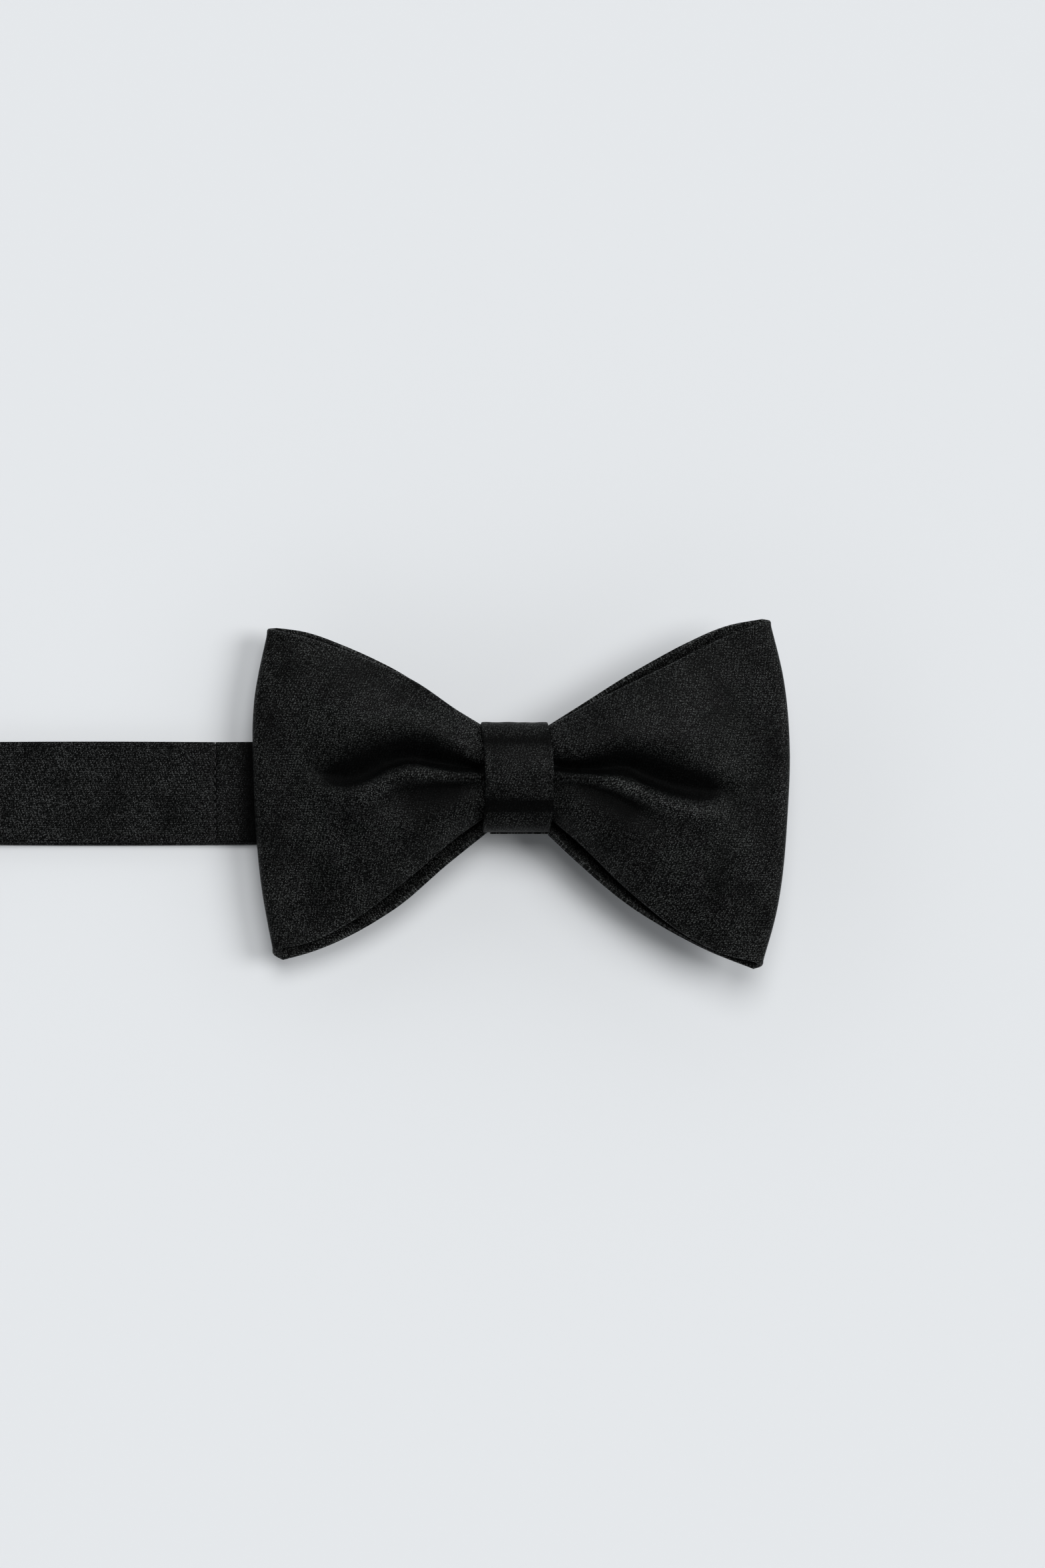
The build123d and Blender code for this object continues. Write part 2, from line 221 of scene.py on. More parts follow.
def weave_group():
    """Satin weave: columns of short thread floats, with painted glints: each float is painted a random
    brightness in the colour.
    """
    group, given, result = node_group(
        "satin_weave_painted_glints",
        [
            ("Cloth", "NodeSocketVector", None),
            ("Column Pitch", "NodeSocketFloat", 0.24),
            ("Float Pitch", "NodeSocketFloat", 0.37),
            ("Lean", "NodeSocketFloat", 0.2),
            ("Twill Along", "NodeSocketFloat", 9.6),
            ("Twill Up", "NodeSocketFloat", -3.2),
        ],
        [
            ("Height", "NodeSocketFloat"),
            ("Glint", "NodeSocketFloat"),
            ("Patch", "NodeSocketFloat"),
        ],
    )
    nodes, links = group.nodes, group.links
    split = nodes.new("ShaderNodeSeparateXYZ")
    links.new(given.outputs["Cloth"], split.inputs[0])
    u, v = split.outputs[0], split.outputs[1]
    leaning = math_node(
        nodes, links, "SUBTRACT", u, math_node(nodes, links, "MULTIPLY", v, given.outputs["Lean"])
    )
    place = nodes.new("ShaderNodeCombineXYZ")
    links.new(math_node(nodes, links, "DIVIDE", leaning, given.outputs["Column Pitch"]), place.inputs[0])
    links.new(math_node(nodes, links, "DIVIDE", v, given.outputs["Float Pitch"]), place.inputs[1])
    cells = nodes.new("ShaderNodeTexVoronoi")
    cells.voronoi_dimensions = "2D"
    cells.inputs["Scale"].default_value = 1.0
    cells.inputs["Randomness"].default_value = 0.55
    links.new(place.outputs[0], cells.inputs["Vector"])
    dot = nodes.new("ShaderNodeMapRange")
    dot.interpolation_type = "SMOOTHSTEP"
    dot.inputs["From Min"].default_value = 0.5
    dot.inputs["From Max"].default_value = 0.12
    links.new(cells.outputs["Distance"], dot.inputs["Value"])
    chance = nodes.new("ShaderNodeSeparateColor")
    links.new(cells.outputs["Color"], chance.inputs[0])
    patch = nodes.new("ShaderNodeTexNoise")
    patch.inputs["Scale"].default_value = 0.11
    patch.inputs["Detail"].default_value = 3.0
    links.new(given.outputs["Cloth"], patch.inputs["Vector"])
    fibre = nodes.new("ShaderNodeTexNoise")
    fibre.inputs["Scale"].default_value = 3.2
    fibre.inputs["Detail"].default_value = 2.0
    links.new(given.outputs["Cloth"], fibre.inputs["Vector"])
    # painted glints: a random brightness for each float, in the colour
    bright = math_node(
        nodes, links, "MULTIPLY_ADD",
        math_node(nodes, links, "POWER", chance.outputs[0], 1.7), 0.92, 0.08,
    )
    twill = math_node(
        nodes, links, "SINE",
        math_node(
            nodes, links, "ADD",
            math_node(nodes, links, "MULTIPLY", u, given.outputs["Twill Along"]),
            math_node(nodes, links, "MULTIPLY", v, given.outputs["Twill Up"]),
        ),
    )
    lined = math_node(nodes, links, "MULTIPLY_ADD", twill, 0.35, 0.85)
    patchy = math_node(nodes, links, "MULTIPLY_ADD", patch.outputs["Fac"], 2.3, -0.15)
    grain = math_node(nodes, links, "MULTIPLY_ADD", fibre.outputs["Fac"], 2.0, 0.0)
    float_glints = math_node(nodes, links, "MULTIPLY", dot.outputs[0], bright)
    glint = math_node(
        nodes, links, "MULTIPLY",
        math_node(nodes, links, "MULTIPLY", float_glints, patchy),
        math_node(nodes, links, "MULTIPLY", lined, grain),
        clamp=True,
    )
    local = nodes.new("ShaderNodeVectorMath")
    local.operation = "SUBTRACT"
    links.new(place.outputs[0], local.inputs[0])
    links.new(cells.outputs["Position"], local.inputs[1])
    tilt = nodes.new("ShaderNodeVectorMath")
    tilt.operation = "SUBTRACT"
    links.new(cells.outputs["Color"], tilt.inputs[0])
    tilt.inputs[1].default_value = (0.5, 0.5, 0.5)
    ramp = nodes.new("ShaderNodeVectorMath")
    ramp.operation = "DOT_PRODUCT"
    links.new(local.outputs[0], ramp.inputs[0])
    links.new(tilt.outputs[0], ramp.inputs[1])
    raised = math_node(nodes, links, "MULTIPLY_ADD", dot.outputs[0], 0.12, ramp.outputs["Value"])
    height = math_node(nodes, links, "MULTIPLY_ADD", fibre.outputs["Fac"], 0.25, raised)
    links.new(height, result.inputs["Height"])
    links.new(glint, result.inputs["Glint"])
    links.new(patch.outputs["Fac"], result.inputs["Patch"])
    return group


SATIN_WEAVE_GLINTS = weave_group()
SATIN_SPECULAR = 0.034  # black silk reflects less than a bare dielectric
FOLD_GLINT = 1.5  # painted highlight on a ridge and painted shade in a valley: how much brighter the floats are painted on a ridge, and darker in a valley
LEAST_GLINT = 0.08
FOLD_GLOSS = -0.2


def mix_colour(nodes, links, factor, dark, light):
    """Blend of two colours by a mask."""
    mix = nodes.new("ShaderNodeMix")
    mix.data_type = "RGBA"
    links.new(factor, mix.inputs["Factor"])
    mix.inputs[6].default_value = (*dark, 1.0)
    mix.inputs[7].default_value = (*light, 1.0)
    return mix.outputs[2]


def satin_material(name, dark, light, roughness, relief, column=0.24, float_pitch=0.37, lean=0.2):
    """Black satin: dark ground, floats painted brighter as painted glints, and a fine relief that breaks up
    its gloss. column and float_pitch are the spacing of the floats across and along, in millimetres."""
    material = bpy.data.materials.new(name)
    material.use_nodes = True
    nodes, links = material.node_tree.nodes, material.node_tree.links
    shader = nodes["Principled BSDF"]
    cloth = nodes.new("ShaderNodeUVMap")
    cloth.uv_map = "cloth"
    weave = nodes.new("ShaderNodeGroup")
    weave.node_tree = SATIN_WEAVE_GLINTS
    weave.inputs["Column Pitch"].default_value = column
    weave.inputs["Float Pitch"].default_value = float_pitch
    weave.inputs["Lean"].default_value = lean
    links.new(cloth.outputs["UV"], weave.inputs["Cloth"])
    # Painted shade in valleys and painted highlight on ridges and turned edges: the fold attribute dims or
    # brightens the floats.
    painted_fold_light = nodes.new("ShaderNodeAttribute")
    painted_fold_light.attribute_name = "fold"
    fold = painted_fold_light.outputs["Fac"]
    lit = math_node(nodes, links, "MULTIPLY_ADD", fold, FOLD_GLINT, 1.0)
    lit = math_node(nodes, links, "MAXIMUM", lit, LEAST_GLINT)
    glint = math_node(nodes, links, "MULTIPLY", weave.outputs["Glint"], lit)
    links.new(mix_colour(nodes, links, glint, dark, light), shader.inputs["Base Color"])
    rough = math_node(nodes, links, "MULTIPLY_ADD", weave.outputs["Patch"], 0.10, roughness - 0.05)
    deepest = math_node(nodes, links, "MAXIMUM", fold, -1.0)
    rough = math_node(nodes, links, "MULTIPLY_ADD", deepest, FOLD_GLOSS, rough, clamp=True)
    links.new(rough, shader.inputs["Roughness"])
    bump = nodes.new("ShaderNodeBump")
    bump.inputs["Strength"].default_value = 1.0
    bump.inputs["Distance"].default_value = relief * MM
    links.new(weave.outputs["Height"], bump.inputs["Height"])
    links.new(bump.outputs["Normal"], shader.inputs["Normal"])
    shader.inputs["Specular IOR Level"].default_value = SATIN_SPECULAR
    return material


def plain_material(name, colour, roughness, metallic=0.0, grain=0.3, relief=0.02):
    """Plain finish with fine grain in its colour, gloss and relief."""
    material = bpy.data.materials.new(name)
    material.use_nodes = True
    nodes, links = material.node_tree.nodes, material.node_tree.links
    shader = nodes["Principled BSDF"]
    place = nodes.new("ShaderNodeTexCoord")
    speck = nodes.new("ShaderNodeTexNoise")
    speck.inputs["Scale"].default_value = 1.0 / (grain * MM)
    speck.inputs["Detail"].default_value = 3.0
    links.new(place.outputs["Object"], speck.inputs["Vector"])
    darker = tuple(0.75 * c for c in colour)
    links.new(mix_colour(nodes, links, speck.outputs["Fac"], darker, colour), shader.inputs["Base Color"])
    links.new(
        math_node(nodes, links, "MULTIPLY_ADD", speck.outputs["Fac"], 0.2, roughness - 0.1),
        shader.inputs["Roughness"],
    )
    bump = nodes.new("ShaderNodeBump")
    bump.inputs["Distance"].default_value = relief * MM
    links.new(speck.outputs["Fac"], bump.inputs["Height"])
    links.new(bump.outputs["Normal"], shader.inputs["Normal"])
    shader.inputs["Metallic"].default_value = metallic
    return material


GROUND = (0.0003, 0.0004, 0.0004)
# The floats' light colour, here and in the band's satin below, is a painted glint.
FLOAT_GLINT_COLOUR = (0.090, 0.095, 0.093)
RELIEF = 0.08
satin = satin_material("bow_satin", GROUND, FLOAT_GLINT_COLOUR, 0.40, RELIEF)
lining_satin = satin_material("lining_satin", GROUND, FLOAT_GLINT_COLOUR, 0.42, RELIEF)
band_satin = satin_material(
    "band_satin", (0.0004, 0.0005, 0.0005), (0.092, 0.096, 0.096), 0.42, RELIEF, float_pitch=0.4, lean=-0.3
)
thread = plain_material("black_thread", (0.006, 0.006, 0.0065), 0.55)
felt = plain_material("interlining_felt", (0.62, 0.6, 0.55), 0.9, relief=0.08)
metal = plain_material("blackened_nickel", (0.42, 0.42, 0.43), 0.34, metallic=1.0, grain=1.5, relief=0.002)

# ---------------------------------------------------------------- the bow's surface

BOW_Z = 10.5  # middle of the bow at the knot
BOW_RISE = math.tan(math.radians(3.3))  # the right wing rides higher than the left
WAIST = 6.5  # the gathered waist reaches this far each side of the middle, under the knot
HALF_THICK = 0.55
WAIST_HEIGHT = 3.4
EDGE_GAP = 0.75  # the two layers all but touch along their long edges
LAP = 6.0  # each end of the strip goes this far past the waist, at the back
LAP_DROP = 1.25  # the right end passes under the left one

# Outlines seen from above, from the waist out to the fold at the wing's end.
LEFT_FRONT_LOW = [
    (-6.5, -7.2), (-13.5, -12.2), (-23.0, -20.4), (-34.5, -29.2), (-46.5, -35.0), (-53.0, -36.4)
]
LEFT_FRONT_TOP = [
    (-6.5, 10.2), (-13.9, 15.1), (-22.1, 20.8), (-36.1, 27.0), (-46.4, 30.5), (-54.0, 32.3)
]
LEFT_BACK_LOW = [
    (-6.5, -10.8), (-15.4, -18.0), (-26.9, -27.8), (-38.4, -34.2), (-46.5, -37.3), (-52.4, -38.9)
]
LEFT_BACK_TOP = [
    (-6.5, 10.6), (-15.4, 16.1), (-26.9, 23.7), (-38.4, 28.9), (-48.4, 32.1), (-53.8, 32.8)
]
LEFT_FOLD = [(-55.3, -23.4), (-57.0, -1.4), (-56.9, 17.2)]
RIGHT_FRONT_LOW = [
    (6.5, -7.4), (13.9, -13.8), (23.4, -23.1), (36.5, -33.1), (45.5, -37.3), (52.4, -39.0)
]
RIGHT_FRONT_TOP = [(6.5, 11.0), (14.8, 15.6), (31.6, 24.0), (46.0, 30.7), (54.0, 33.7)]
RIGHT_BACK_LOW = [(6.5, -11.3), (12.8, -17.3), (25.0, -27.5), (41.1, -36.3), (52.2, -40.6)]
RIGHT_BACK_TOP = [(6.5, 11.2), (13.4, 15.6), (24.9, 22.9), (36.4, 29.1), (46.9, 33.2), (54.0, 34.5)]
RIGHT_FOLD = [(55.4, -28.6), (57.9, -6.2), (58.3, 6.0), (57.0, 21.4)]

# Creases of the front layer: a path seen from above, then along it the height (below 0 is a valley)
# and the half widths on its +Y and -Y sides.
CREASES = [
    # left wing: long valley, the ridge that follows it, and a second valley under the ridge
    (
        [
            (-7, 1.9), (-12.3, 2.7), (-18, 3.6), (-24, 4.2), (-28.5, 2.8), (-33, 0.9), (-38, 0.3),
            (-43, 1.7),
        ],
        [-2.0, -2.5, -2.8, -2.9, -2.8, -2.4, -1.8, -1.0],
        [1.1, 2.3, 3.4, 4.2, 4.4, 4.2, 3.5, 2.4],
        [0.8, 1.3, 1.8, 2.2, 2.4, 2.5, 2.3, 1.8],
    ),
    (
        [
            (-7, 0.6), (-12.3, 0.5), (-18, 1.1), (-23.6, 1.7), (-27.5, 0.4), (-31.5, -2.2), (-36, -3.6),
            (-41, -3.0), (-46, 0.2),
        ],
        [0.3, 0.8, 1.2, 1.5, 1.6, 1.4, 1.1, 0.7, 0.0],
        [0.7, 0.9, 1.2, 1.5, 1.8, 2.1, 2.4, 2.6, 2.6],
        [0.7, 0.9, 1.2, 1.6, 2.0, 2.4, 2.8, 3.0, 3.0],
    ),
    (
        [(-8, -0.8), (-13, -1.0), (-19, -1.6), (-24, -2.3), (-28.5, -4.6), (-33, -7.6)],
        [-0.8, -1.3, -1.3, -1.2, -0.7, 0.0],
        [0.8, 1.1, 1.6, 1.9, 1.9, 1.9],
        [2.0, 3.2, 4.4, 5.0, 5.0, 4.5],
    ),
    # left wing: faint swells
    (
        [(-12, 9), (-24, 12), (-36, 13), (-47, 18)],
        [0.1, 0.4, 0.5, 0.0],
        [3.0, 4.5, 5.5, 6.0],
        [2.5, 3.5, 4.0, 4.5],
    ),
    (
        [(-14, -8), (-24, -11), (-36, -12), (-47, -14)],
        [0.1, 0.45, -0.5, 0.0],
        [4, 4, 4, 4],
        [4, 5, 6, 6],
    ),
    # right wing: the same three
    (
        [(7.5, 2.6), (12, 2.2), (18, 2.2), (23, 2.6), (28, 0.6), (33, -1.2), (38, -2.2), (44, -2.4)],
        [-2.0, -2.2, -2.4, -2.8, -2.9, -2.5, -2.0, -1.0],
        [1.7, 2.1, 2.7, 3.6, 4.1, 4.0, 3.4, 2.2],
        [0.9, 1.2, 1.5, 2.0, 2.4, 2.6, 2.4, 1.8],
    ),
    (
        [(8, 0.6), (14, 0.2), (20, -0.7), (25, -2.4), (30, -4.5), (35, -6.3), (40, -7.2), (46, -6.6)],
        [0.3, 0.8, 1.3, 1.7, 1.7, 1.4, 0.9, 0.0],
        [0.7, 0.9, 1.2, 1.6, 1.9, 2.2, 2.5, 2.6],
        [0.6, 0.8, 1.1, 1.5, 1.9, 2.3, 2.8, 3.0],
    ),
    (
        [(9, -0.8), (15, -1.2), (20, -2.8), (25, -5.3), (30, -8.0), (35, -9.8)],
        [-0.8, -1.2, -1.3, -1.35, -0.9, 0.0],
        [0.7, 0.9, 1.3, 1.6, 1.8, 1.8],
        [2.0, 3.2, 4.2, 4.8, 4.8, 4.2],
    ),
    # right wing: faint swells
    (
        [(12, 8), (22, 9), (34, 9), (46, 12)],
        [0.1, 0.5, 0.5, 0.0],
        [4.0, 5.0, 6.0, 6.0],
        [2.0, 3.0, 4.0, 5.0],
    ),
    (
        [(12, -6), (22, -10), (34, -15), (46, -20)],
        [0.1, 0.4, -0.4, 0.0],
        [3, 3, 4, 4],
        [4, 5, 6, 6],
    ),
]


FAINT = 0.9  # a crease that is nowhere higher or deeper than this gets no painted shade or painted highlight


def creases_at(x, y):
    """Height that the creases add at points of the front layer, and how much each point is in a fold, which
    sets the painted shade and painted highlight there.
    """
    total = np.zeros(np.shape(x))
    fold = np.zeros(np.shape(x))
    for path, heights, widths_up, widths_down in CREASES:
        t = np.linspace(0, 1, 61)
        line = curve_through(path, t)
        knots = np.linspace(0, 1, len(path))
        distance = np.hypot(x[..., None] - line[:, 0], y[..., None] - line[:, 1])
        nearest = distance.argmin(axis=-1)
        gap = np.take_along_axis(distance, nearest[..., None], -1)[..., 0]
        place = t[nearest]
        side_up = smooth(y - line[nearest, 1], -0.3, 0.3)
        width = np.interp(place, knots, widths_up) * side_up
        width = width + np.interp(place, knots, widths_down) * (1 - side_up)
        height = np.interp(place, np.linspace(0, 1, len(heights)), heights)
        total += height * np.exp(-((gap / width) ** 2))
        # the fold weight: painted shade in the valleys, painted highlight on the ridges
        if np.max(np.abs(heights)) > FAINT:
            reach = np.where(height < 0, 1.4, 0.8)
            within = np.exp(-((gap / (reach * width)) ** 2.6))
            fold += np.sign(height) * smooth(np.abs(height), 0.4, 1.9) * within
    return total, np.clip(fold, -1, 1)


def fold_radius(v):
    """Half the height of the fold at a wing's end; v runs from -1 at the lower corner to 1."""
    return 1.8 - 0.7 * np.abs(v) ** 2


def edge_rows(width):
    """Places across the strip, from 0 to 1: close together at its two edges, then even."""
    edge = np.array([0.0, 0.03, 0.1, 0.2, 0.32, 0.55, 0.85, 1.2, 1.7, 2.4])
    near = edge[None, :] / width[:, None]
    count = 62
    middle = np.linspace(0, 1, count + 2)[1:-1][None, :]
    inside = near[:, -1:] + (1 - 2 * near[:, -1:]) * middle
    return np.concatenate([near, inside, 1 - near[:, ::-1]], axis=1)


def layer_points(low, top, fold, side, t, lift):
    """Points of one layer of one wing from the waist (t 0) to its end (t 1)."""
    b = curve_through(low, t)
    a = curve_through(top, t)
    rows = edge_rows(np.linalg.norm(a - b, axis=1))
    v = 2 * rows - 1
    side_line = [(x, y) for x, y in [low[-1], *fold, top[-1]]]
    inset = side * (fold_radius(v) + HALF_THICK)
    end = curve_through(side_line, rows)
    waist = np.array(low[0]) + (np.array(top[0]) - np.array(low[0])) * rows[..., None]
    out = t[:, None, None]
    up = rows[..., None]
    ruled = b[:, None, :] * (1 - up) + a[:, None, :] * up
    corner_low = b[0][None, None, :] * (1 - out) + b[-1][None, None, :] * out
    corner_top = a[0][None, None, :] * (1 - out) + a[-1][None, None, :] * out
    bilinear = corner_low * (1 - up) + corner_top * up
    across = waist * (1 - out) + end * out
    plan = ruled + across - bilinear
    plan[..., 0] -= inset * smooth(t, 0.5, 1.0)[:, None]
    height = lift(t[:, None] + 0 * v, v, plan[..., 0], plan[..., 1])
    return np.dstack([plan, height])


def cross_shape(v):
    """Crown of a layer across its width: 1 along its middle and 0 at its two edges."""
    return (1 - np.abs(v) ** 2.4) ** 0.85


def front_lift(t, v, x, y):
    """Height of the front layer over the bow's middle."""
    crown = WAIST_HEIGHT + 2.3 * np.sin(math.pi * np.clip(t, 0, 1) ** 0.62) * (1 - 0.25 * t)
    body = EDGE_GAP + (crown - EDGE_GAP) * cross_shape(v)
    end = fold_radius(v)
    toward = smooth(t, 0.55, 1.0)
    body = body * (1 - toward) + end * toward
    pleats = 0.45 * np.cos(9.5 * v + 0.6) * np.exp(-9 * t) * cross_shape(v)
    faint = 0.20 * ripple(x, y, 13.0, 3.1) + 0.06 * ripple(x, y, 5.0, 8.4)
    ease = smooth(t, -0.02, 0.05) * smooth(1 - t, 0.0, 0.14)
    return body + pleats + (creases_at(x, y)[0] + faint * cross_shape(v)) * ease


def back_lift(drop):
    """Height of the back layer below the bow's middle; drop lowers it at the waist, for the lap."""

    def lift(t, v, x, y):
        crown = WAIST_HEIGHT + drop * (1 - t) + 1.2 * np.sin(math.pi * t ** 0.7)
        body = -(EDGE_GAP + (crown - EDGE_GAP) * cross_shape(v))
        toward = smooth(t, 0.55, 1.0)
        body = body * (1 - toward) - fold_radius(v) * toward
        pleats = 0.3 * np.cos(8.5 * v) * np.exp(-8 * t) * cross_shape(v)
        faint = 0.14 * ripple(x, y, 13.0, 6.7) * smooth(t, 0.0, 0.1) * smooth(1 - t, 0.0, 0.14)
        return body + pleats + faint

    return lift


def fold_points(front_end, back_end, side):
    """Half turn that joins the end of the front layer to the end of the back layer."""
    rows = []
    for step in range(1, 10):
        angle = math.pi * step / 10
        share = step / 10
        point = front_end * (1 - share) + back_end * share
        radius = (front_end[:, 2] - back_end[:, 2]) / 2
        middle = (front_end[:, 2] + back_end[:, 2]) / 2
        point[:, 0] += side * radius * math.sin(angle)
        point[:, 2] = middle + radius * math.cos(angle)
        rows.append(point)
    return np.array(rows)


def bow_grid():
    """Middle surface of the whole strip, from one lapped end round to the other."""
    t = np.linspace(0, 1, 66) ** 1.12
    back_left = layer_points(LEFT_BACK_LOW, LEFT_BACK_TOP, LEFT_FOLD, -1, t, back_lift(0.0))
    front_left = layer_points(LEFT_FRONT_LOW, LEFT_FRONT_TOP, LEFT_FOLD, -1, t, front_lift)
    front_right = layer_points(RIGHT_FRONT_LOW, RIGHT_FRONT_TOP, RIGHT_FOLD, 1, t, front_lift)
    back_right = layer_points(RIGHT_BACK_LOW, RIGHT_BACK_TOP, RIGHT_FOLD, 1, t, back_lift(LAP_DROP))
    left_fold = fold_points(front_left[-1], back_left[-1], -1)[::-1]
    right_fold = fold_points(front_right[-1], back_right[-1], 1)
    bridge = [
        front_left[0] * (1 - k / 8) + front_right[0] * (k / 8) for k in range(1, 8)
    ]
    left_end = [back_left[0] + np.array([k, 0, 0]) for k in np.linspace(WAIST + LAP, 1, 8)]
    right_end = [back_right[0] - np.array([k, 0, 0]) for k in np.linspace(1, WAIST + LAP, 8)]
    grid = np.concatenate([
        np.array(left_end), back_left, left_fold, front_left[::-1], np.array(bridge),
        front_right, right_fold, back_right[::-1], np.array(right_end),
    ])
    grid[..., 2] += BOW_Z + BOW_RISE * grid[..., 0]
    start = len(left_end) + len(back_left) + len(left_fold)
    stop = start + len(front_left) + len(bridge) + len(front_right)
    # painted shade and painted highlight of the front layer's creases, for the cloth's colour
    fold = np.zeros(grid.shape[:2])
    fold[start:stop] = creases_at(grid[start:stop, :, 0], grid[start:stop, :, 1])[1]
    return grid, fold


def edge_distance(grid):
    """Distance of each point from the nearer long edge of the strip."""
    steps = np.linalg.norm(np.diff(grid, axis=1), axis=2)
    low = np.concatenate([np.zeros((len(grid), 1)), np.cumsum(steps, axis=1)], axis=1)
    return np.minimum(low, low[:, -1:] - low)


def strip_uv(grid):
    """Flat position of each point of the strip, in millimetres: length along it, and place across it."""
    centre = grid.shape[1] // 2
    lengths = np.linalg.norm(np.diff(grid[:, centre], axis=0), axis=1)
    steps = np.linalg.norm(np.diff(grid[..., 1:], axis=1), axis=2)
    across = np.concatenate([np.zeros((len(grid), 1)), np.cumsum(steps, axis=1)], axis=1)
    uv = np.zeros((*grid.shape[:2], 2))
    uv[..., 0] = np.concatenate([[0.0], np.cumsum(lengths)])[:, None]
    uv[..., 1] = across - across[:, centre : centre + 1] + grid[:, centre : centre + 1, 1]
    return uv


surface, surface_painted_light = bow_grid()
outward = normals_of(surface)
if outward[len(surface) // 2, surface.shape[1] // 2, 2] < 0:
    outward = -outward
from_edge = edge_distance(surface)
surface_painted_light = surface_painted_light + 0.6 * np.exp(-((from_edge / 0.4) ** 2))  # painted highlight along the turned edges
bow_uv = strip_uv(surface)

# The strip is a turned tube: each satin rolls over the long edges in its own lip, and the two lips
# meet in a groove at the seam.
LIP = 0.32
SEAM_DEPTH = 0.28
lip_turn = np.sqrt(np.clip(1 - (1 - np.clip(from_edge / LIP, 0, 1)) ** 2, 0, 1))
puff = 0.14 * np.exp(-(((from_edge - 0.6) / 0.5) ** 2))
face_depth = (SEAM_DEPTH + (HALF_THICK - SEAM_DEPTH) * lip_turn + puff)[..., None]
opened = smooth(from_edge, 0.6, 1.1)
back_depth = (SEAM_DEPTH - 0.25 * lip_turn * (1 - opened) - 0.03 * opened)[..., None]


def bow_layer(name, outer_depth, inner_depth, material, rows=slice(None)):
    """One layer of the strip, between two depths from its middle surface."""
    outer = (surface + outward * outer_depth)[:, rows]
    inner = (surface + outward * inner_depth)[:, rows]
    return shell(name, outer, inner, bow_uv[:, rows], material, fold=surface_painted_light[:, rows])


bow_outer = bow_layer("bow_outer_satin_cloth", face_depth, back_depth, satin)
bow_lining = bow_layer("bow_lining_cloth", -back_depth, -face_depth, lining_satin)
SEAM_ROWS = 8  # the interlining stops short of the seams by this many rows of the grid
CORE_DEPTH = 0.2
inside = slice(SEAM_ROWS, surface.shape[1] - SEAM_ROWS)
flat_depth = np.full_like(face_depth, CORE_DEPTH)
bow_core = bow_layer("bow_interlining_cloth", flat_depth, -flat_depth, felt, inside)

for piece, node, slot in (
    (bow_outer, "bow_outer_satin", "satin"),
    (bow_lining, "bow_inner_satin", "lining"),
    (bow_core, "bow_interlining", "interlining"),
):
    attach(piece, "bow_and_band")
    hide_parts(node)

# The pleats are held by a few turns of thread drawn tight round the waist, under the knot.
BINDING_TURNS = 5
BINDING_PITCH = 2.0
BINDING_RADIUS = 0.2
BINDING_MIDDLE = (0.25, 10.0)
BINDING_HALF = (10.9, 5.15)


def tube_along(points, radius, sides=8):
    """Closed tube round a closed loop of points, as a grid of points."""
    ahead = np.roll(points, -1, axis=0) - np.roll(points, 1, axis=0)
    ahead /= np.linalg.norm(ahead, axis=1, keepdims=True)
    side = np.tile(np.array([1.0, 0.0, 0.0]), (len(points), 1))
    up = np.cross(ahead, side)
    angle = np.linspace(0, 2 * math.pi, sides, endpoint=False)
    ring = side[:, None] * np.cos(angle)[None, :, None] + up[:, None] * np.sin(angle)[None, :, None]
    return points[:, None] + ring * radius


def binding_turn(x):
    """One tight turn of thread round the waist, at one place along the bow."""
    angle = np.linspace(0, 2 * math.pi, 90, endpoint=False)
    c, d = np.cos(angle), np.sin(angle)
    y = BINDING_MIDDLE[0] + BINDING_HALF[0] * np.sign(c) * np.abs(c) ** 0.8
    z = BINDING_MIDDLE[1] + BINDING_HALF[1] * np.sign(d) * np.abs(d) ** 0.8 + BOW_RISE * x
    return np.stack([np.full(len(angle), x), y, z], axis=1)


binding_points, binding_faces = [], []
for turn in range(BINDING_TURNS):
    tube = tube_along(binding_turn((turn - (BINDING_TURNS - 1) / 2) * BINDING_PITCH), BINDING_RADIUS)
    index = np.arange(tube.shape[0] * tube.shape[1]).reshape(tube.shape[:2])
    index = index + sum(len(p) for p in binding_points)
    for i in range(tube.shape[0]):
        for j in range(tube.shape[1]):
            k, m = (i + 1) % tube.shape[0], (j + 1) % tube.shape[1]
            binding_faces.append((int(index[i, j]), int(index[k, j]), int(index[k, m]), int(index[i, m])))
    binding_points.append(tube.reshape(-1, 3))
binding_points = np.concatenate(binding_points)
binding = make_piece(
    "pleat_binding_turns", binding_points, binding_faces, np.zeros((len(binding_points), 2)), thread
)
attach(binding, "bow_and_band")
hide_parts("pleat_binding_thread")

# ---------------------------------------------------------------- the knot

WRAP = 0.55
KNOT_WIDTH = 14.4
# Outer outline of the knot across the neckband (Y, Z), from its underside round by -Y to +Y.
KNOT_OUTLINE = [
    (-3.0, 2.0), (-8.4, 2.2), (-10.4, 3.6), (-11.2, 6.4), (-11.3, 9.6), (-11.0, 12.2), (-10.0, 14.0),
    (-8.2, 15.2), (-6.2, 15.9), (-3.6, 16.6), (0.0, 17.0), (3.4, 16.85), (6.6, 16.2), (9.0, 15.3),
    (10.8, 14.1), (12.0, 12.2), (12.4, 9.5), (12.2, 6.0), (11.2, 3.4), (8.8, 2.15), (4.0, 2.0),
    (-3.0, 2.0),
]
# Its side edges seen from above: places along Y, and X there.
KNOT_LEFT = ([-11, -9, -5, 0, 6, 10, 12.4], [-7.6, -7.35, -7.0, -6.9, -7.2, -7.7, -8.0])
KNOT_RIGHT = ([-11, -8, -5, 2, 6, 9, 12.4], [7.0, 7.4, 7.65, 7.75, 7.6, 7.1, 6.5])


